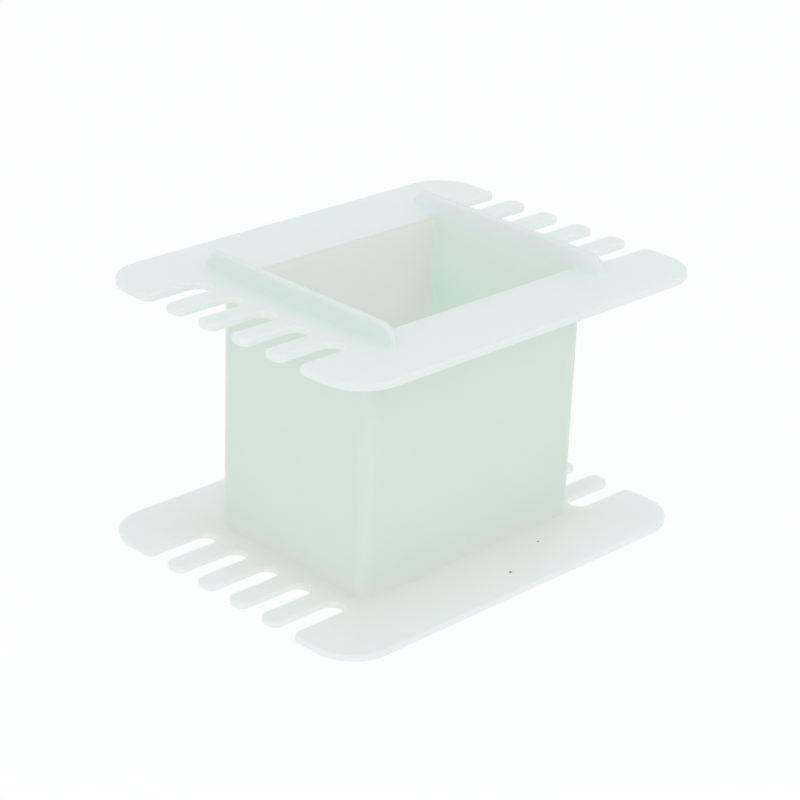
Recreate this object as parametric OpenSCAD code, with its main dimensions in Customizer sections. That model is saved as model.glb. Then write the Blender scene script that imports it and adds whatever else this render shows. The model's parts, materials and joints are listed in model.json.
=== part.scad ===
// Transformer bobbin: one nylon moulding, a rectangular tube between two comb-edged flanges.
// The tube stands on +Z, the combs face -X and +X, and z = 0 is the underside of the lower flange.

/* [Core that the bobbin takes] */
// Width of the core's centre leg, across the bobbin
leg_w = 32; // [20:0.5:50]
// Thickness of the lamination stack, along the bobbin
stack_t = 45; // [20:0.5:80]
// Width of the core's window on each side of the centre leg
core_gap_w = 16; // [14:0.5:25]
// Height of the core's window
core_gap_h = 48; // [30:0.5:75]
// Room left beside the centre leg, on each side
leg_clear = 0.5; // [0.2:0.1:1]
// Room left at each end of the stack
stack_clear = 1; // [0.2:0.1:2]
// Room left between a flange's edge and the core's outer leg
edge_clear = 0.5; // [0.2:0.1:1]
// Room left over the height of the core's window
height_clear = 0.4; // [0.2:0.1:1]

/* [Tube] */
// Wall of the tube
tube_wall = 1.5; // [1:0.1:2.5]
// Radius of the tube's four outer corners
tube_corner_r = 2; // [1:0.1:3]
// Radius of the window's four inner corners
window_corner_r = 0.5; // [0.3:0.1:1]

/* [Flanges] */
// Thickness of each flange
flange_t = 1.2; // [0.8:0.1:2.5]
// How far a flange reaches past the tube at its comb ends
comb_reach = 15.5; // [11:0.5:25]
// Radius of a flange's four corners
flange_corner_r = 8; // [3:0.5:9]

/* [Combs] */
// Lead slots in each comb
slot_count = 5; // [1:1:5]
// Spacing of the slots
slot_pitch = 8; // [7.5:0.1:9]
// Width of a slot
slot_w = 4.1; // [3:0.1:4.5]
// Solid land between the tube and the round ends of the lower flange's slots
lower_slot_land = 3; // [1:0.5:6]
// Solid land between the tube and the round ends of the upper flange's slots
upper_slot_land = 4.5; // [1:0.5:6]
// Radius of the fingers' tips
tip_r = 1.4; // [0.5:0.1:1.4]

/* [Lead barriers] */
// Height of the two walls that keep the leads off the core, above the upper flange
barrier_h = 3.5; // [1:0.1:6]
// Length of each wall, across the bobbin
barrier_l = 45; // [20:0.5:54]
// Thickness of each wall
barrier_t = 1.2; // [0.8:0.1:2]
// Radius of the two upper corners of each wall, which a lower wall limits to its own height
barrier_corner_r = 3; // [0.5:0.1:4]

/* [Hidden] */
$fn = 64;
// How far a cutter runs past the face that it cuts
over = 1;
window_l = stack_t + 2 * stack_clear;
window_w = leg_w + 2 * leg_clear;
tube_l = window_l + 2 * tube_wall;
tube_w = window_w + 2 * tube_wall;
flange_l = tube_l + 2 * comb_reach;
flange_w = leg_w + 2 * (core_gap_w - edge_clear);
bobbin_h = core_gap_h - height_clear;
total_h = bobbin_h + barrier_h;
lower_slot_end_x = tube_l / 2 + lower_slot_land;
upper_slot_end_x = tube_l / 2 + upper_slot_land;
barrier_end_r = min(barrier_corner_r, barrier_h);
nylon = [0.89, 0.93, 0.91];

// Rectangle about the origin with four round corners
module round_rectangle(length, width, radius) {
    square([length - 2 * radius, width], center = true);
    square([length, width - 2 * radius], center = true);
    for (sx = [-1, 1], sy = [-1, 1])
        translate([sx * (length / 2 - radius), sy * (width / 2 - radius)])
            circle(radius);
}

// What rounds one corner of a finger's tip, on the upper side of a slot at y = 0
module tip_corner_cut() {
    difference() {
        translate([flange_l / 2 - tip_r, 0])
            square([tip_r + over, slot_w / 2 + tip_r]);
        translate([flange_l / 2 - tip_r, slot_w / 2 + tip_r])
            circle(tip_r);
    }
}

// One lead slot of the +X comb at y = 0: a round end that starts at end_x, straight sides and a rounded mouth
module slot_cut(end_x) {
    slot_r = slot_w / 2;
    translate([end_x + slot_r, 0])
        circle(slot_r);
    translate([end_x + slot_r, -slot_r])
        square([flange_l / 2 - end_x, slot_w]);
    tip_corner_cut();
    mirror([0, 1])
        tip_corner_cut();
}

// The row of slots in the +X comb
module comb_cut(end_x) {
    for (i = [0 : slot_count - 1])
        translate([0, (i - (slot_count - 1) / 2) * slot_pitch])
            slot_cut(end_x);
}

// One flange, lying on z = 0, with a comb at each end whose slots start at slot_end_x
module flange(slot_end_x) {
    linear_extrude(flange_t)
        difference() {
            round_rectangle(flange_l, flange_w, flange_corner_r);
            comb_cut(slot_end_x);
            mirror([1, 0])
                comb_cut(slot_end_x);
        }
}

// The tube's outside, from mid-flange to mid-flange
module tube_outside() {
    translate([0, 0, flange_t / 2])
        linear_extrude(bobbin_h - flange_t)
            round_rectangle(tube_l, tube_w, tube_corner_r);
}

// One round end of a barrier, seen from the comb, above the flange's face at y = 0
module barrier_end() {
    intersection() {
        translate([0, barrier_h - barrier_end_r])
            circle(barrier_end_r);
        translate([-barrier_end_r, 0])
            square([2 * barrier_end_r, barrier_h]);
    }
}

// The wall on the upper flange between the core and the leads of the +X comb
module lead_barrier() {
    half = barrier_l / 2;
    translate([window_l / 2, 0, bobbin_h - flange_t / 2])
        rotate([90, 0, 90])
            linear_extrude(barrier_t) {
                translate([-half, 0])
                    square([barrier_l, flange_t / 2 + barrier_h - barrier_end_r]);
                translate([barrier_end_r - half, 0])
                    square([barrier_l - 2 * barrier_end_r, flange_t / 2 + barrier_h]);
                for (side = [-1, 1])
                    translate([side * (half - barrier_end_r), flange_t / 2])
                        barrier_end();
            }
}

// The window that the core's centre leg slides through
module window_cut() {
    translate([0, 0, -over])
        linear_extrude(total_h + 2 * over)
            round_rectangle(window_l, window_w, window_corner_r);
}

// The whole moulding
module bobbin() {
    color(nylon)
        difference() {
            union() {
                flange(lower_slot_end_x);
                translate([0, 0, bobbin_h - flange_t])
                    flange(upper_slot_end_x);
                tube_outside();
                lead_barrier();
                mirror([1, 0, 0])
                    lead_barrier();
            }
            window_cut();
        }
}

bobbin();
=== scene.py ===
# %% [markdown]
# # A moulded transformer bobbin
#
# The object is an empty transformer bobbin: a rectangular tube between two thin flanges, all one nylon
# moulding. Wire is wound on the tube, its ends leave through the combs at the short ends of the
# flanges, and a stack of steel laminations slides through the window. This lesson rebuilds its looks
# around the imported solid: a camera, the moulding with softened edges, a milky satin nylon, and a white
# studio.

# %% Load the frame and keep its box
import json
import math

import bmesh
import bpy
from mathutils import Matrix, Vector


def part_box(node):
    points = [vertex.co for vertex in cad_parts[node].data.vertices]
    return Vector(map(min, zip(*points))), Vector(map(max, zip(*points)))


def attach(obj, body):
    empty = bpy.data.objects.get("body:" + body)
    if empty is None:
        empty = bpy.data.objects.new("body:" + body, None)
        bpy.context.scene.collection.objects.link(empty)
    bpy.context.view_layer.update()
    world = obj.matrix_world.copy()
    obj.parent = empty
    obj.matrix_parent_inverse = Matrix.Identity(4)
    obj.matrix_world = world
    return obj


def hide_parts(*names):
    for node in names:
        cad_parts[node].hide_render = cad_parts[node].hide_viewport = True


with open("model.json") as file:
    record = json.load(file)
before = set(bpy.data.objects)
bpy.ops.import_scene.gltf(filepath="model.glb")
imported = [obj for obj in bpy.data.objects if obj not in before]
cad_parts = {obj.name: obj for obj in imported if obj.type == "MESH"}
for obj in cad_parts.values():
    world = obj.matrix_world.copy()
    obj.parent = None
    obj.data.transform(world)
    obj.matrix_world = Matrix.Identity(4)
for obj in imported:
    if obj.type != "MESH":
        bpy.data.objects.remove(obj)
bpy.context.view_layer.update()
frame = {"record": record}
low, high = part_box("bobbin")
print("bobbin from", tuple(low), "to", tuple(high))

# %% [markdown]
# ## Camera
#
# A product picture like this is taken with a long lens from a little above, over one corner. The
# straight edges of the flanges fix the direction: halfway between a comb end and a plain side, about 24
# degrees up, with a small roll. The camera could be placed by hand, but building its matrix from an
# azimuth, an elevation, a roll and a distance keeps each of those a number that can be read.

# %% Camera over the near corner
MM = 0.001
CAMERA_AZIMUTH = math.radians(-44.96)
CAMERA_ELEVATION = math.radians(24.14)
CAMERA_ROLL = math.radians(2.22)
CAMERA_DISTANCE = 407.6 * MM
CAMERA_LENS = 107.3
CAMERA_CLIP = 10 * MM
SENSOR_WIDTH = 36.0
# The middle of the moulding, without its lead barriers
AIM = Vector((0, 0, 23.8 * MM))
# How far the picture's middle lies from that point, along the picture's own right and up
AIM_RIGHT = -0.1 * MM
AIM_UP = 0.22 * MM


def camera_axes(azimuth, elevation, roll):
    """The camera's right, up and back directions."""
    back = Vector((
        math.sin(azimuth) * math.cos(elevation),
        -math.cos(azimuth) * math.cos(elevation),
        math.sin(elevation),
    ))
    level_right = Vector((math.cos(azimuth), math.sin(azimuth), 0))
    level_up = back.cross(level_right)
    right = level_right * math.cos(roll) + level_up * math.sin(roll)
    up = level_up * math.cos(roll) - level_right * math.sin(roll)
    return right, up, back


right, up, back = camera_axes(CAMERA_AZIMUTH, CAMERA_ELEVATION, CAMERA_ROLL)
camera_place = AIM + back * CAMERA_DISTANCE + right * AIM_RIGHT + up * AIM_UP
camera_data = bpy.data.cameras.new("camera")
camera_data.lens = CAMERA_LENS
camera_data.sensor_width = SENSOR_WIDTH
camera_data.clip_start = CAMERA_CLIP
camera = bpy.data.objects.new("camera", camera_data)
turn = Matrix((right, up, back)).transposed().to_4x4()
camera.matrix_world = Matrix.Translation(camera_place) @ turn
bpy.context.scene.collection.objects.link(camera)
bpy.context.scene.camera = camera
print("camera at", [round(v, 3) for v in camera_place])

# %% [markdown]
# ## Sizes of the moulding
#
# The overall sizes come from the frame's box and the height of the upper flange from its mount, so the
# dressed moulding can't drift away from the solid. The rest are the drawing's own sizes. Everything is
# drawn in millimetres and made metres once, at the end, because Blender's merging and bevelling
# distances suit numbers near one.

# %% The drawing's sizes, in millimetres
yoke_seat = next(m for m in frame["record"]["mounts"] if m["name"] == "upper_yoke_seat")
FLANGE_L = (high[0] - low[0]) / MM
FLANGE_W = (high[1] - low[1]) / MM
TOTAL_H = (high[2] - low[2]) / MM
BOBBIN_H = yoke_seat["pos_m"][2] / MM
FLANGE_T = 1.2
FLANGE_CORNER_R = 8.0
WINDOW_L = 47.0
WINDOW_W = 33.0
WINDOW_CORNER_R = 0.5
TUBE_WALL = 1.5
TUBE_CORNER_R = 2.0
SLOT_COUNT = 5
SLOT_PITCH = 8.0
SLOT_W = 4.1
# Solid land between the tube and the slots' round ends, on each flange
LOWER_SLOT_LAND = 3.0
UPPER_SLOT_LAND = 4.5
TIP_R = 1.4
BARRIER_L = 45.0
BARRIER_T = 1.2
BARRIER_CORNER_R = 3.0
# Radius of the barriers' round rims, and of the hollow corner round their feet
BARRIER_RIM_R = 0.55
BARRIER_FOOT_R = 0.45
TUBE_L = WINDOW_L + 2 * TUBE_WALL
TUBE_W = WINDOW_W + 2 * TUBE_WALL
BARRIER_H = TOTAL_H - BOBBIN_H
# How far a cutting prism runs past the faces that it cuts
OVER = 1.0
print(f"flange {FLANGE_L:.1f} x {FLANGE_W:.1f}, height {BOBBIN_H:.1f} + {BARRIER_H:.1f} mm")

# %% [markdown]
# ## The comb outlines
#
# A flange seen from above is a rectangle with a comb at each short end. It could be drawn by cutting
# slots out of a plate, but its corners have three different radii, and rounding them after a cut is
# hard. So the outline is kept as a closed line of sharp corners, each carrying the radius that it will
# get: large at the flange's own corners, half a slot's width at a slot's end, and small at the finger
# tips. The upper flange's slots stop a little earlier, in front of the lead barriers, so each flange
# has an outline of its own.

# %% Sharp corners of the flange, each with its radius


def comb_corners(side, slot_land):
    """Corners of the comb on one side, +1 or -1 along X, in counter-clockwise order from above."""
    slot_end_x = TUBE_L / 2 + slot_land
    corners = []
    for i in range(SLOT_COUNT):
        middle = side * (i - (SLOT_COUNT - 1) / 2) * SLOT_PITCH
        near = middle - side * SLOT_W / 2
        far = middle + side * SLOT_W / 2
        corners.append((side * FLANGE_L / 2, near, TIP_R))
        corners.append((side * slot_end_x, near, SLOT_W / 2))
        corners.append((side * slot_end_x, far, SLOT_W / 2))
        corners.append((side * FLANGE_L / 2, far, TIP_R))
    return corners


def flange_corners(slot_land):
    """The whole outline, counter-clockwise from above."""
    half_l = FLANGE_L / 2
    half_w = FLANGE_W / 2
    corners = [(half_l, -half_w, FLANGE_CORNER_R)]
    corners += comb_corners(1, slot_land)
    corners += [(half_l, half_w, FLANGE_CORNER_R), (-half_l, half_w, FLANGE_CORNER_R)]
    corners += comb_corners(-1, slot_land)
    corners += [(-half_l, -half_w, FLANGE_CORNER_R)]
    return corners


def flange_outline(name, slot_land):
    """An object that is one closed line, with each corner's radius as an attribute."""
    corners = flange_corners(slot_land)
    mesh = bpy.data.meshes.new(name)
    mesh.from_pydata(
        [(x, y, 0) for x, y, radius in corners],
        [(i, (i + 1) % len(corners)) for i in range(len(corners))],
        [],
    )
    radii = mesh.attributes.new("corner_radius", "FLOAT", "POINT")
    radii.data.foreach_set("value", [radius for x, y, radius in corners])
    outline = bpy.data.objects.new(name, mesh)
    bpy.context.scene.collection.objects.link(outline)
    print(name, "has", len(corners), "corners")
    return outline


moulding = flange_outline("bobbin_moulding", LOWER_SLOT_LAND)
upper_outline = flange_outline("upper_outline", UPPER_SLOT_LAND)

# %% [markdown]
# ## Prisms from outlines
#
# Each part of the moulding is an outline with rounded corners, pulled up to a height: both flanges, the
# tube, the window and the barriers. That rule is one small Geometry Nodes group: round the corners,
# fill the outline, pull it up, and close the bottom with a turned copy of the same face.

# %% Node group: a rounded outline pulled up into a prism


def new_socket(tree, name, kind, default=None, output=False):
    """One named input or output of a node group."""
    direction = "OUTPUT" if output else "INPUT"
    socket = tree.interface.new_socket(name, in_out=direction, socket_type=f"NodeSocket{kind}")
    if default is not None:
        socket.default_value = default


def add_node(tree, kind, inputs=None, **properties):
    """A node with its properties set and its inputs given as values or as sockets to link from."""
    node = tree.nodes.new(kind)
    for name, value in properties.items():
        setattr(node, name, value)
    for name, value in (inputs or {}).items():
        if isinstance(value, bpy.types.NodeSocket):
            tree.links.new(value, node.inputs[name])
        else:
            node.inputs[name].default_value = value
    return node


# Steps along each rounded corner, and the distance at which two points count as one
ARC_STEPS = 12
MERGE_DISTANCE = 0.001


def make_prism_group():
    """Outline, corner radius and height in, closed prism out."""
    tree = bpy.data.node_groups.new("rounded_prism", "GeometryNodeTree")
    new_socket(tree, "Outline", "Geometry")
    new_socket(tree, "Corner Radius", "Float", 1.0)
    new_socket(tree, "Height", "Float", 1.0)
    new_socket(tree, "Prism", "Geometry", output=True)
    given = add_node(tree, "NodeGroupInput").outputs
    rounded = add_node(tree, "GeometryNodeFilletCurve", {
        "Curve": given["Outline"],
        "Count": ARC_STEPS,
        "Radius": given["Corner Radius"],
    }, mode="POLY")
    face = add_node(tree, "GeometryNodeFillCurve", {"Curve": rounded.outputs[0]}, mode="NGONS")
    upward = add_node(tree, "ShaderNodeCombineXYZ", {"Z": given["Height"]})
    pulled = add_node(tree, "GeometryNodeExtrudeMesh", {
        "Mesh": face.outputs[0],
        "Offset": upward.outputs[0],
        "Individual": False,
    }, mode="FACES")
    bottom = add_node(tree, "GeometryNodeFlipFaces", {"Mesh": face.outputs[0]})
    both = add_node(tree, "GeometryNodeJoinGeometry")
    tree.links.new(pulled.outputs["Mesh"], both.inputs[0])
    tree.links.new(bottom.outputs[0], both.inputs[0])
    closed = add_node(tree, "GeometryNodeMergeByDistance", {
        "Geometry": both.outputs[0],
        "Distance": MERGE_DISTANCE,
    })
    add_node(tree, "NodeGroupOutput", {"Prism": closed.outputs[0]})
    return tree


prism_group = make_prism_group()
print("node group", prism_group.name, "with", len(prism_group.nodes), "nodes")

# %% [markdown]
# ## The tube and its flanges
#
# The real bobbin is one shot of plastic round a steel core that leaves the window. The tree works in
# the same order: the two flanges and the tube become one body, and then the window is taken out of all
# of it at once, so its walls run clean through. The barriers on top come later, because each of the two
# shapes has edges of its own radius, and edges are easiest to round while they still run in plain
# loops.

# %% Node tree: the body


def maths(tree, operation, first, second):
    """The result of one sum on two values, each a number or a socket."""
    node = tree.nodes.new("ShaderNodeMath")
    node.operation = operation
    for socket, value in zip(node.inputs, (first, second)):
        if isinstance(value, bpy.types.NodeSocket):
            tree.links.new(value, socket)
        else:
            socket.default_value = value
    return node.outputs[0]


def rectangle(tree, length, width):
    """A rectangle's outline about the origin, its length along X."""
    shape = add_node(tree, "GeometryNodeCurvePrimitiveQuadrilateral", {"Width": length, "Height": width})
    return shape.outputs[0]


def prism(tree, outline, corner_radius, height):
    """An outline pulled up by the prism group."""
    group = tree.nodes.new("GeometryNodeGroup")
    group.node_tree = prism_group
    for name, value in (("Outline", outline), ("Corner Radius", corner_radius), ("Height", height)):
        tree.links.new(value, group.inputs[name])
    return group.outputs["Prism"]


def moved(tree, geometry, x=0.0, z=0.0):
    """The geometry at another place."""
    place = add_node(tree, "ShaderNodeCombineXYZ", {"X": x, "Z": z})
    there = add_node(tree, "GeometryNodeTransform", {"Geometry": geometry, "Translation": place.outputs[0]})
    return there.outputs[0]


def joined(tree, *bodies):
    """Several closed bodies made one."""
    whole = add_node(tree, "GeometryNodeMeshBoolean", operation="UNION", solver="EXACT")
    for body in bodies:
        tree.links.new(body, whole.inputs["Mesh 2"])
    return whole.outputs["Mesh"]


def cut(tree, body, tool):
    """What is left of a body when a tool is taken out of it."""
    rest = add_node(tree, "GeometryNodeMeshBoolean", operation="DIFFERENCE", solver="EXACT")
    tree.links.new(body, rest.inputs["Mesh 1"])
    tree.links.new(tool, rest.inputs["Mesh 2"])
    return rest.outputs["Mesh"]


def start_tree(name, sizes):
    """A tree on a piece's own geometry, with a named input for each size and one for the material."""
    tree = bpy.data.node_groups.new(name, "GeometryNodeTree")
    new_socket(tree, "Own Geometry", "Geometry")
    for size_name, size in sizes.items():
        new_socket(tree, size_name, "Float", size)
    new_socket(tree, "Material", "Material")
    new_socket(tree, "Made", "Geometry", output=True)
    return tree, add_node(tree, "NodeGroupInput").outputs


def end_tree(tree, geometry, material):
    """The last nodes of every tree: real geometry, with its material."""
    real = add_node(tree, "GeometryNodeRealizeInstances", {"Geometry": geometry})
    dressed = add_node(tree, "GeometryNodeSetMaterial", {"Geometry": real.outputs[0], "Material": material})
    add_node(tree, "NodeGroupOutput", {"Made": dressed.outputs[0]})
    print("tree", tree.name, "with", len(tree.nodes), "nodes")


def flange_plate(tree, outline, thickness):
    """A flange from its outline, lying on the floor."""
    line = add_node(tree, "GeometryNodeMeshToCurve", {"Mesh": outline})
    radius = add_node(tree, "GeometryNodeInputNamedAttribute", {"Name": "corner_radius"}, data_type="FLOAT")
    return prism(tree, line.outputs[0], radius.outputs["Attribute"], thickness)


def flange_pair(tree, given):
    """The lower flange from the piece's own outline, and the upper one from its own."""
    thickness = given["Flange Thickness"]
    upper_line = add_node(tree, "GeometryNodeObjectInfo", {"Object": given["Upper Outline"]})
    lower = flange_plate(tree, given["Own Geometry"], thickness)
    upper = flange_plate(tree, upper_line.outputs["Geometry"], thickness)
    return lower, moved(tree, upper, z=maths(tree, "SUBTRACT", given["Height"], thickness))


def tube_block(tree, given):
    """The tube before its window is cut, from mid-flange to mid-flange."""
    outline = rectangle(tree, given["Tube Length"], given["Tube Width"])
    height = maths(tree, "SUBTRACT", given["Height"], given["Flange Thickness"])
    block = prism(tree, outline, given["Tube Corner Radius"], height)
    return moved(tree, block, z=maths(tree, "MULTIPLY", given["Flange Thickness"], 0.5))


def window_block(tree, given):
    """What the core's leg takes out, a little longer than the moulding at both ends."""
    outline = rectangle(tree, given["Window Length"], given["Window Width"])
    height = maths(tree, "ADD", given["Full Height"], 2 * OVER)
    return moved(tree, prism(tree, outline, given["Window Corner Radius"], height), z=-OVER)


WINDOW_SIZES = {
    "Full Height": TOTAL_H,
    "Window Length": WINDOW_L,
    "Window Width": WINDOW_W,
    "Window Corner Radius": WINDOW_CORNER_R,
}
BODY_SIZES = {
    **WINDOW_SIZES,
    "Height": BOBBIN_H,
    "Flange Thickness": FLANGE_T,
    "Tube Length": TUBE_L,
    "Tube Width": TUBE_W,
    "Tube Corner Radius": TUBE_CORNER_R,
}


def make_body_tree():
    """Two flanges and a tube, with the window cut through."""
    tree, given = start_tree("bobbin_body", BODY_SIZES)
    new_socket(tree, "Upper Outline", "Object")
    solid = joined(tree, *flange_pair(tree, given), tube_block(tree, given))
    end_tree(tree, cut(tree, solid, window_block(tree, given)), given["Material"])
    return tree


body_tree = make_body_tree()

# %% [markdown]
# ## The lead barriers
#
# A low wall stands at each end of the window and keeps the leads away from the core. Each is an upright
# plate with round upper corners, rooted halfway into the flange. Its foot has a hollow corner, as ribs
# have in a mould: that is a block round the foot, with a groove taken out of it by a round bar that
# runs once round the plate. The bar lies a little closer than its own radius, so that it truly cuts and
# doesn't just touch.

# %% Node tree: one barrier plate
BARRIER_SIZES = {
    "Height": BOBBIN_H,
    "Root": FLANGE_T / 2,
    "Barrier Length": BARRIER_L,
    "Barrier Height": BARRIER_H,
    "Barrier Thickness": BARRIER_T,
    "Barrier Corner Radius": BARRIER_CORNER_R,
    "Barrier Seat": WINDOW_L / 2,
}


def make_barrier_tree():
    """One upright plate with two round upper corners, at the +X end of the window."""
    tree, given = start_tree("barrier_plate", BARRIER_SIZES)
    plate_h = maths(tree, "ADD", given["Barrier Height"], given["Root"])
    outline = rectangle(tree, given["Barrier Length"], plate_h)
    place = add_node(tree, "GeometryNodeInputPosition")
    parts = add_node(tree, "ShaderNodeSeparateXYZ", {"Vector": place.outputs[0]})
    is_upper = maths(tree, "GREATER_THAN", parts.outputs["Y"], 0.0)
    radius = maths(tree, "MULTIPLY", given["Barrier Corner Radius"], is_upper)
    plate = prism(tree, outline, radius, given["Barrier Thickness"])
    upright = add_node(tree, "GeometryNodeTransform", {
        "Geometry": plate,
        "Rotation": (math.pi / 2, 0, math.pi / 2),
    })
    foot = maths(tree, "SUBTRACT", given["Height"], given["Root"])
    middle = maths(tree, "ADD", foot, maths(tree, "MULTIPLY", plate_h, 0.5))
    end_tree(tree, moved(tree, upright.outputs[0], given["Barrier Seat"], middle), given["Material"])
    return tree


barrier_tree = make_barrier_tree()

# %% Node tree: both barriers set on the body
# How much closer to the plate than its own radius the bar lies
BITE = 0.003
FOOT_GAP = BARRIER_FOOT_R - BITE
JOIN_SIZES = {
    **WINDOW_SIZES,
    "Height": BOBBIN_H,
    "Root": FLANGE_T / 2,
    "Foot Middle": WINDOW_L / 2 + BARRIER_T / 2,
    "Foot Length": BARRIER_L + 2 * FOOT_GAP,
    "Foot Width": BARRIER_T + 2 * FOOT_GAP,
    "Foot Corner Radius": BARRIER_RIM_R + FOOT_GAP,
    "Foot Gap": FOOT_GAP,
    "Foot Radius": BARRIER_FOOT_R,
}


def foot_block(tree, given):
    """The block round a barrier's foot, with its hollow corner cut by a round bar."""
    plan = rectangle(tree, given["Foot Width"], given["Foot Length"])
    height = maths(tree, "ADD", given["Root"], given["Foot Gap"])
    block = prism(tree, plan, given["Foot Corner Radius"], height)
    block_z = maths(tree, "SUBTRACT", given["Height"], given["Root"])
    block = moved(tree, block, given["Foot Middle"], block_z)
    path = add_node(tree, "GeometryNodeFilletCurve", {
        "Curve": plan,
        "Count": ARC_STEPS,
        "Radius": given["Foot Corner Radius"],
    }, mode="POLY")
    section = add_node(tree, "GeometryNodeCurvePrimitiveCircle", {
        "Resolution": 4 * ARC_STEPS,
        "Radius": given["Foot Radius"],
    })
    bar = add_node(tree, "GeometryNodeCurveToMesh", {
        "Curve": path.outputs[0],
        "Profile Curve": section.outputs["Curve"],
    })
    bar_z = maths(tree, "ADD", given["Height"], given["Foot Gap"])
    return cut(tree, block, moved(tree, bar.outputs[0], given["Foot Middle"], bar_z))


def make_join_tree():
    """The body with a barrier and its foot at each end of the window."""
    tree, given = start_tree("barriers_on_body", JOIN_SIZES)
    new_socket(tree, "Barrier", "Object")
    plate = add_node(tree, "GeometryNodeObjectInfo", {"Object": given["Barrier"]})
    foot = cut(tree, foot_block(tree, given), window_block(tree, given))
    barrier = joined(tree, plate.outputs["Geometry"], foot)
    # Half a turn about the upright axis, written as a scale because that leaves every digit as it is
    turned = add_node(tree, "GeometryNodeTransform", {"Geometry": barrier, "Scale": (-1, -1, 1)})
    whole = joined(tree, given["Own Geometry"], barrier, turned.outputs[0])
    end_tree(tree, whole, given["Material"])
    return tree


join_tree = make_join_tree()

# %% [markdown]
# ## Natural nylon
#
# Unpigmented nylon is milky: light enters, scatters a millimetre or two deep and comes out again, so
# thin flanges glow and the tube takes a faint green. A plain pale colour would look like painted card.
# Here the light scatters below the surface, faint clouds follow the flow of the melt, and a very fine
# grain from the mould breaks up the gloss. Its colour changes from place to place, and these changes are
# painted light and shade: the flanges, the barriers' inner faces and the window's side walls are painted
# paler than the tube's outside, the window's end walls are painted darker and greener than its side
# walls, and the lower flange has painted shade, darker and warmer, round the tube's foot. Masks made from
# the place on the piece choose between these tints. Two small dark specks lie in the lower flange.

# %% Shader group: what the mould leaves on a surface
# Noise scales, per metre, and the make-up of each noise
CLOUD_SCALE = 60.0
CLOUD_NOISE = {"Detail": 3.0, "Roughness": 0.55, "Distortion": 0.6}
GRAIN_SCALE = 2600.0
GRAIN_NOISE = {"Detail": 2.0, "Roughness": 0.6}


def make_moulded_surface_group():
    """Soft clouds and a fine grain, from a place on the piece in metres."""
    tree = bpy.data.node_groups.new("moulded_surface", "ShaderNodeTree")
    new_socket(tree, "Place", "Vector")
    new_socket(tree, "Cloud Scale", "Float", CLOUD_SCALE)
    new_socket(tree, "Grain Scale", "Float", GRAIN_SCALE)
    new_socket(tree, "Clouds", "Float", output=True)
    new_socket(tree, "Grain", "Float", output=True)
    given = add_node(tree, "NodeGroupInput").outputs
    clouds = add_node(tree, "ShaderNodeTexNoise", {
        "Vector": given["Place"],
        "Scale": given["Cloud Scale"],
        **CLOUD_NOISE,
    })
    grain = add_node(tree, "ShaderNodeTexNoise", {
        "Vector": given["Place"],
        "Scale": given["Grain Scale"],
        **GRAIN_NOISE,
    })
    add_node(tree, "NodeGroupOutput", {"Clouds": clouds.outputs[0], "Grain": grain.outputs[0]})
    return tree


surface_group = make_moulded_surface_group()
print("shader group", surface_group.name)

# %% Material: natural nylon
# Tints of the tube's outside, and of the other places named, which are painted light and painted shade
NYLON_LIGHT = (0.77, 0.845, 0.793, 1)
NYLON_CLOUDY = (0.742, 0.822, 0.768, 1)
# Painted light: both flanges paler than the tube, the lower one paler still
NYLON_UPPER_FLANGE_PAINTED_LIGHT = (0.815, 0.915, 0.85, 1)
NYLON_LOWER_FLANGE_PAINTED_LIGHT = (0.865, 0.925, 0.885, 1)
# Painted shade: the lower flange darker and warmer round the tube's foot, where the upper flange shades it
NYLON_LOWER_ROOT_PAINTED_SHADE = (0.815, 0.84, 0.79, 1)
# Painted light: the window's walls paler, standing in for light that reaches inside
NYLON_WINDOW_PAINTED_LIGHT = (0.915, 1.0, 0.90, 1)
# Painted shade: the window's end walls darker and greener than its side walls, more so deeper down
NYLON_WINDOW_END_PAINTED_SHADE = (0.82, 0.925, 0.847, 1)
# Painted light: the barriers' faces towards the window paler
NYLON_BARRIER_INSIDE_PAINTED_LIGHT = (0.86, 0.945, 0.905, 1)
# How far from a flange's faces its painted light, a paler tint, reaches, along the tube and up the barriers
FLANGE_BLEND = 4.0
# How far the painted shade round the tube's foot, a darker and warmer tint, reaches across the lower flange
ROOT_REACH = 12.0
# How wide the change from the outer tint to the window's painted light is: across the window's edge, and
# down its walls
WINDOW_BLEND = 0.2
WINDOW_FADE = 1.0
# How far below the flange the window's end walls have their painted shade in full, after half of it at the
# top
END_WALL_SHADE_FADE = 14.0
NYLON_ROUGH_LOW = 0.40
NYLON_ROUGH_HIGH = 0.52
NYLON_IOR = 1.53
# How strongly the grain bends the light, and how high it stands
GRAIN_STRENGTH = 0.12
GRAIN_HEIGHT = 0.02 * MM
# How light spreads below the surface: its share, its reach in red, green and blue, and that reach's unit
SCATTER_SHARE = 1.0
SCATTER_RADIUS = (1.0, 1.1, 1.0)
SCATTER_SCALE = 2.0 * MM
SPECK_COLOUR = (0.10, 0.11, 0.09, 1)
# Two dark specks moulded into the lower flange: place in millimetres and radius
SPECKS = [((1.2, -26.5, FLANGE_T), 0.33), ((12.9, -21.9, FLANGE_T), 0.26)]
# Share of a speck's radius that is fully dark
SPECK_CORE = 0.6


def coordinate(tree, place, axis):
    """The place's coordinate on one axis, in metres."""
    return add_node(tree, "ShaderNodeSeparateXYZ", {"Vector": place}).outputs[axis]


def off_centre(tree, place, axis):
    """How far the place lies from the piece's middle on one axis, in metres."""
    return maths(tree, "ABSOLUTE", coordinate(tree, place, axis), 0.0)


def fade_out(tree, value, start, end):
    """One at the start, zero at the end, level past both; in millimetres, and either may be the larger."""
    fade = add_node(tree, "ShaderNodeMapRange", {
        "Value": value,
        "From Min": start * MM,
        "From Max": end * MM,
        "To Min": 1.0,
        "To Max": 0.0,
    })
    return fade.outputs[0]


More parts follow.
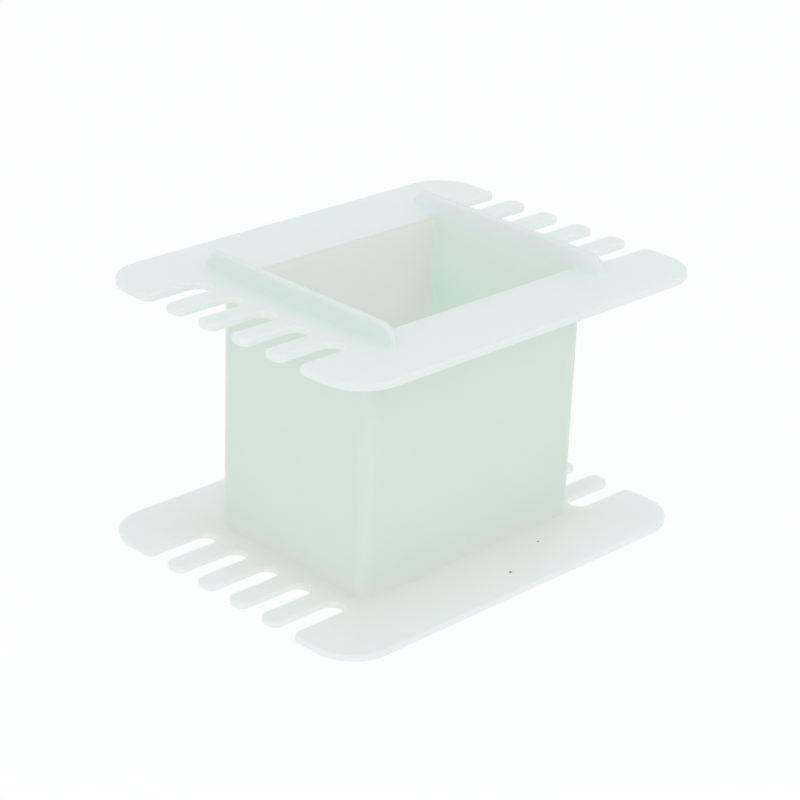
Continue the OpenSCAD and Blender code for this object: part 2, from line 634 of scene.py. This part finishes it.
def speck_mask(tree, place):
    """One where a dark speck lies, zero elsewhere."""
    total = None
    for centre, radius in SPECKS:
        gap = add_node(tree, "ShaderNodeVectorMath", operation="DISTANCE")
        tree.links.new(place, gap.inputs[0])
        gap.inputs[1].default_value = [c * MM for c in centre]
        spot = fade_out(tree, gap.outputs["Value"], SPECK_CORE * radius, radius)
        total = spot if total is None else maths(tree, "MAXIMUM", total, spot)
    return total


def window_painted_light_mask(tree, place):
    """One on the walls of the window, where light is painted in as a paler tint, zero outside and on the
    barriers.
    """
    mask = fade_out(tree, coordinate(tree, place, "Z"), BOBBIN_H - WINDOW_FADE, BOBBIN_H)
    for axis, size in (("X", WINDOW_L), ("Y", WINDOW_W)):
        inside = fade_out(tree, off_centre(tree, place, axis), size / 2, size / 2 + WINDOW_BLEND)
        mask = maths(tree, "MULTIPLY", mask, inside)
    return mask


def end_plane_mask(tree, place):
    """One on the plane of the window's end walls and the barriers' inner faces, zero on its side walls."""
    away = off_centre(tree, place, "X")
    outer_side = fade_out(tree, away, WINDOW_L / 2, WINDOW_L / 2 + WINDOW_BLEND)
    inner_side = fade_out(tree, away, WINDOW_L / 2 - WINDOW_BLEND, WINDOW_L / 2 - 2 * WINDOW_BLEND)
    return maths(tree, "MULTIPLY", outer_side, inner_side)


def end_wall_painted_shade_mask(tree, place):
    """Half at the upper edge of the window's end walls, one further down, zero on its side walls: where
    shade is painted in.
    """
    depth = fade_out(tree, coordinate(tree, place, "Z"), BOBBIN_H - END_WALL_SHADE_FADE, BOBBIN_H + END_WALL_SHADE_FADE)
    return maths(tree, "MULTIPLY", end_plane_mask(tree, place), depth)


def barrier_inside_painted_light_mask(tree, place):
    """One on the barriers' faces towards the window, where light is painted in as a paler tint, fading to
    zero just below them.
    """
    above = fade_out(tree, coordinate(tree, place, "Z"), BOBBIN_H, BOBBIN_H - WINDOW_FADE)
    within = fade_out(tree, off_centre(tree, place, "Y"), BARRIER_L / 2, BARRIER_L / 2 + WINDOW_BLEND)
    on_barrier = maths(tree, "MULTIPLY", above, within)
    return maths(tree, "MULTIPLY", end_plane_mask(tree, place), on_barrier)


def flange_painted_light_mask(tree, place, middle):
    """One through the thickness of the flange at that height, where light is painted in, fading to zero
    beyond its faces.
    """
    from_middle = maths(tree, "SUBTRACT", coordinate(tree, place, "Z"), middle * MM)
    away = maths(tree, "ABSOLUTE", from_middle, 0.0)
    return fade_out(tree, away, FLANGE_T / 2, FLANGE_T / 2 + FLANGE_BLEND)


def root_painted_shade_mask(tree, place):
    """One at the tube's foot, where shade is painted in, fading to zero across the flange."""
    gaps = []
    for axis, size in (("X", TUBE_L), ("Y", TUBE_W)):
        gaps.append(maths(tree, "SUBTRACT", off_centre(tree, place, axis), size / 2 * MM))
    return fade_out(tree, maths(tree, "MAXIMUM", *gaps), 0.0, ROOT_REACH)


def mix_colours(tree, factor, first, second):
    """First where the factor is zero, second where it is one; each a colour or a socket."""
    node = add_node(tree, "ShaderNodeMix", {"Factor": factor}, data_type="RGBA")
    sockets = [s for s in node.inputs if s.type == "RGBA"]
    for socket, colour in zip(sockets, (first, second)):
        if isinstance(colour, bpy.types.NodeSocket):
            tree.links.new(colour, socket)
        else:
            socket.default_value = colour
    return next(s for s in node.outputs if s.type == "RGBA")


def nylon_tint(tree, place, clouds):
    """The moulding's colour at each place, from its tints and masks, with light and shade painted in."""
    tube = mix_colours(tree, clouds, NYLON_LIGHT, NYLON_CLOUDY)
    # Painted light: both flanges paler than the tube
    on_upper = flange_painted_light_mask(tree, place, BOBBIN_H - FLANGE_T / 2)
    on_lower = flange_painted_light_mask(tree, place, FLANGE_T / 2)
    topped = mix_colours(tree, on_upper, tube, NYLON_UPPER_FLANGE_PAINTED_LIGHT)
    # Painted shade round the tube's foot on the lower flange
    lower = mix_colours(tree, root_painted_shade_mask(tree, place), NYLON_LOWER_FLANGE_PAINTED_LIGHT, NYLON_LOWER_ROOT_PAINTED_SHADE)
    outer = mix_colours(tree, on_lower, topped, lower)
    # Painted light on the barriers' faces towards the window
    edged = mix_colours(tree, barrier_inside_painted_light_mask(tree, place), outer, NYLON_BARRIER_INSIDE_PAINTED_LIGHT)
    # Painted shade on the window's end walls, over the painted light of its walls
    inner = mix_colours(tree, end_wall_painted_shade_mask(tree, place), NYLON_WINDOW_PAINTED_LIGHT, NYLON_WINDOW_END_PAINTED_SHADE)
    # Painted light on the window's walls
    tint_with_painted_light = mix_colours(tree, window_painted_light_mask(tree, place), edged, inner)
    return mix_colours(tree, speck_mask(tree, place), tint_with_painted_light, SPECK_COLOUR)


def make_nylon():
    """Milky nylon with a satin grain."""
    material = bpy.data.materials.new("natural_nylon")
    material.use_nodes = True
    tree = material.node_tree
    shader = tree.nodes["Principled BSDF"]
    place = add_node(tree, "ShaderNodeTexCoord").outputs["Object"]
    surface = tree.nodes.new("ShaderNodeGroup")
    surface.node_tree = surface_group
    tree.links.new(place, surface.inputs["Place"])
    tint = nylon_tint(tree, place, surface.outputs["Clouds"])
    tree.links.new(tint, shader.inputs["Base Color"])
    rough = add_node(tree, "ShaderNodeMapRange", {
        "Value": surface.outputs["Grain"],
        "To Min": NYLON_ROUGH_LOW,
        "To Max": NYLON_ROUGH_HIGH,
    })
    tree.links.new(rough.outputs[0], shader.inputs["Roughness"])
    bump = add_node(tree, "ShaderNodeBump", {
        "Strength": GRAIN_STRENGTH,
        "Distance": GRAIN_HEIGHT,
        "Height": surface.outputs["Grain"],
    })
    tree.links.new(bump.outputs[0], shader.inputs["Normal"])
    shader.inputs["IOR"].default_value = NYLON_IOR
    shader.inputs["Subsurface Weight"].default_value = SCATTER_SHARE
    shader.inputs["Subsurface Radius"].default_value = SCATTER_RADIUS
    shader.inputs["Subsurface Scale"].default_value = SCATTER_SCALE
    return material


nylon = make_nylon()
print("material", nylon.name, "with", len(nylon.node_tree.nodes), "nodes")

# %% [markdown]
# ## From trees to one piece
#
# Each tree's result becomes a plain mesh. No moulding has knife edges: the steel is never quite sharp,
# so every edge gets a radius, which is what catches the light along the flanges. A bevel reads each
# edge's radius from its weight: small on the outer edges, larger in the inner corners where the tube
# meets the flanges, and large round the barriers. Then the barriers are set on the body, and weighted
# normals keep the flat faces flat.

# %% Helpers: run a tree, soften edges, clean a mesh
# Radii of the outer edges and of the inner corners, and the steps across each
EDGE_R = 0.22
ROOT_R = 0.5
EDGE_STEPS = 5
# Edges that turn by more than the first angle are rounded, and faces within the second count as one
SHARP_ANGLE = math.radians(40)
FLAT_ANGLE = math.radians(0.5)
# The cuts can leave two points of an outline this close, which would trip the bevel
SPLIT_POINT = 0.02
# Decimals of a millimetre that are kept, so that faces meant to lie in one plane do
KEPT_DIGITS = 4
# In cubic millimetres
CUBIC_CENTIMETRE = 1000.0


def keep_result(piece):
    """The piece with its modifiers done becomes its plain mesh."""
    depsgraph = bpy.context.evaluated_depsgraph_get()
    mesh = bpy.data.meshes.new_from_object(piece.evaluated_get(depsgraph), depsgraph=depsgraph)
    piece.modifiers.clear()
    piece.data = mesh


def run_tree(piece, tree, values):
    """Puts a node tree on a piece, with its inputs set before the first look, and keeps the result."""
    modifier = piece.modifiers.new("made_by_nodes", "NODES")
    modifier.node_group = tree
    sockets = {s.name: s.identifier for s in tree.interface.items_tree if s.in_out == "INPUT"}
    for name, value in values.items():
        modifier[sockets[name]] = value
    keep_result(piece)


def tidy_faces(mesh, smallest):
    """Joins points closer than the smallest step, and the flat stretches that the cuts left in pieces."""
    work = bmesh.new()
    work.from_mesh(mesh)
    bmesh.ops.remove_doubles(work, verts=work.verts, dist=smallest)
    bmesh.ops.dissolve_limit(
        work,
        angle_limit=FLAT_ANGLE,
        verts=work.verts,
        edges=work.edges,
        use_dissolve_boundaries=False,
    )
    open_edges = sum(1 for e in work.edges if len(e.link_faces) != 2)
    volume = work.calc_volume() / CUBIC_CENTIMETRE
    print(f"open or shared edges: {open_edges}, volume: {volume:.3f} cm3")
    work.to_mesh(mesh)
    work.free()


def body_radius(edge):
    """The body's inner corners are rounder than its outer edges."""
    return ROOT_R if edge.calc_face_angle_signed() < 0 else EDGE_R


def barrier_radius(edge):
    """A barrier is round everywhere but at the end that is sunk into the flange."""
    at_bottom = all(v.co.z < BOBBIN_H for v in edge.verts)
    return 0.0 if at_bottom else BARRIER_RIM_R


def soften_edges(piece, radius_of, largest):
    """Rounds each sharp edge by its own radius, which the bevel reads as a share of the largest."""
    work = bmesh.new()
    work.from_mesh(piece.data)
    share = work.edges.layers.float.new("bevel_weight_edge")
    for edge in work.edges:
        if edge.calc_face_angle() > SHARP_ANGLE:
            edge[share] = radius_of(edge) / largest
    work.to_mesh(piece.data)
    work.free()
    bevel = piece.modifiers.new("edge_radius", "BEVEL")
    bevel.width = largest
    bevel.segments = EDGE_STEPS
    bevel.limit_method = "WEIGHT"
    bevel.use_clamp_overlap = False
    keep_result(piece)
    for vertex in piece.data.vertices:
        vertex.co = [round(v, KEPT_DIGITS) for v in vertex.co]


def shade_smooth(piece):
    """Smooth shading that leaves the large flat faces flat."""
    for polygon in piece.data.polygons:
        polygon.use_smooth = True
    piece.data.set_sharp_from_angle(angle=SHARP_ANGLE)
    normals = piece.modifiers.new("flat_faces", "WEIGHTED_NORMAL")
    normals.keep_sharp = True
    keep_result(piece)


# %% Make the body and a barrier, and set one on the other
run_tree(moulding, body_tree, {**BODY_SIZES, "Material": nylon, "Upper Outline": upper_outline})
bpy.data.objects.remove(upper_outline)
tidy_faces(moulding.data, SPLIT_POINT)
soften_edges(moulding, body_radius, ROOT_R)

barrier = bpy.data.objects.new("barrier_plate", bpy.data.meshes.new("barrier_plate"))
bpy.context.scene.collection.objects.link(barrier)
run_tree(barrier, barrier_tree, {**BARRIER_SIZES, "Material": nylon})
tidy_faces(barrier.data, SPLIT_POINT)
soften_edges(barrier, barrier_radius, BARRIER_RIM_R)

run_tree(moulding, join_tree, {**JOIN_SIZES, "Material": nylon, "Barrier": barrier})
bpy.data.objects.remove(barrier)
tidy_faces(moulding.data, MERGE_DISTANCE)
shade_smooth(moulding)
moulding.data.transform(Matrix.Scale(MM, 4))
moulding.data.name = "bobbin_moulding"
print(len(moulding.data.vertices), "vertices,", len(moulding.data.polygons), "faces")

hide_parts("bobbin")
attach(moulding, "root")

# %% [markdown]
# ## White studio
#
# The bobbin stands on a white light table under broad soft lamps. Its opal panel sends out a little
# light of its own and returns part of what falls on it, together about as much as a white floor would,
# and that light fills the window from below. A floor that is lit to pure white would need too much
# light on the object, so the panel shows the camera mostly plain white and only partly its lit surface,
# which keeps a faint shadow at the flange.

# %% Floor
# Half the table's side, in metres
FLOOR_HALF = 3.0
# The table lies a hair below the moulding, so that light can come back up through the lower flange
FLOOR_Z = -0.25 * MM
# What the panel sends to the moulding: its own light, and its share of the light that falls on it
PANEL_GLOW = 0.72
PANEL_COLOUR = 0.19
PANEL_TINT = (1.0, 1.0, 1.0, 1)
# What the camera sees: nearly plain white, with a share of the fallen light that keeps the shadow
SEEN_GLOW = 0.83
SEEN_COLOUR = 0.20


def seen_directly(tree):
    """One for a ray from the camera, a mirror or a glass, zero for light on its way."""
    path = add_node(tree, "ShaderNodeLightPath")
    seen = maths(tree, "MAXIMUM", path.outputs["Is Camera Ray"], path.outputs["Is Glossy Ray"])
    return maths(tree, "MAXIMUM", seen, path.outputs["Is Transmission Ray"])


def make_floor_material():
    """An opal panel that glows a little and takes a faint shadow."""
    material = bpy.data.materials.new("white_table")
    material.use_nodes = True
    tree = material.node_tree
    tree.nodes.clear()
    seen = seen_directly(tree)
    colour = add_node(tree, "ShaderNodeMapRange", {
        "Value": seen,
        "To Min": PANEL_COLOUR,
        "To Max": SEEN_COLOUR,
    })
    glow = add_node(tree, "ShaderNodeMapRange", {
        "Value": seen,
        "To Min": PANEL_GLOW,
        "To Max": SEEN_GLOW,
    })
    lit = add_node(tree, "ShaderNodeBsdfDiffuse", {"Color": colour.outputs[0]})
    own = add_node(tree, "ShaderNodeEmission", {"Color": PANEL_TINT, "Strength": glow.outputs[0]})
    both = add_node(tree, "ShaderNodeAddShader")
    tree.links.new(lit.outputs[0], both.inputs[0])
    tree.links.new(own.outputs[0], both.inputs[1])
    add_node(tree, "ShaderNodeOutputMaterial", {"Surface": both.outputs[0]})
    return material


floor_mesh = bpy.data.meshes.new("floor")
floor_mesh.from_pydata(
    [(x * FLOOR_HALF, y * FLOOR_HALF, FLOOR_Z) for x, y in ((-1, -1), (1, -1), (1, 1), (-1, 1))],
    [],
    [(0, 1, 2, 3)],
)
floor_mesh.materials.append(make_floor_material())
floor = bpy.data.objects.new("floor", floor_mesh)
bpy.context.scene.collection.objects.link(floor)
print("floor laid")

# %% Lamps and world
# Two softboxes: where they stand in metres, their diameter and their power
LEFT_SOFTBOX = Vector((-0.75, -0.15, 0.55))
RIGHT_SOFTBOX = Vector((0.15, -0.75, 0.55))
SOFTBOX_SIZE = 0.5
SOFTBOX_POWER = 0.5
# The world as it lights the moulding, and as the camera sees it
WORLD_COLOUR = (0.985, 1.0, 1.04, 1)
WORLD_STRENGTH = 0.765
SEEN_WORLD_STRENGTH = 1.0


def add_softbox(name, place):
    """A round soft lamp that looks at the moulding."""
    data = bpy.data.lights.new(name, "AREA")
    data.shape = "DISK"
    data.size = SOFTBOX_SIZE
    data.energy = SOFTBOX_POWER
    lamp = bpy.data.objects.new(name, data)
    facing = (place - AIM).to_track_quat("Z", "Y").to_matrix().to_4x4()
    lamp.matrix_world = Matrix.Translation(place) @ facing
    bpy.context.scene.collection.objects.link(lamp)


add_softbox("left_softbox", LEFT_SOFTBOX)
add_softbox("right_softbox", RIGHT_SOFTBOX)

world = bpy.data.worlds.new("studio")
bpy.context.scene.world = world
world.use_nodes = True
background = world.node_tree.nodes["Background"]
background.inputs["Color"].default_value = WORLD_COLOUR
world_level = add_node(world.node_tree, "ShaderNodeMapRange", {
    "Value": seen_directly(world.node_tree),
    "To Min": WORLD_STRENGTH,
    "To Max": SEEN_WORLD_STRENGTH,
})
world.node_tree.links.new(world_level.outputs[0], background.inputs["Strength"])
bpy.context.scene.view_settings.view_transform = "Standard"
print("two lamps and a white world")
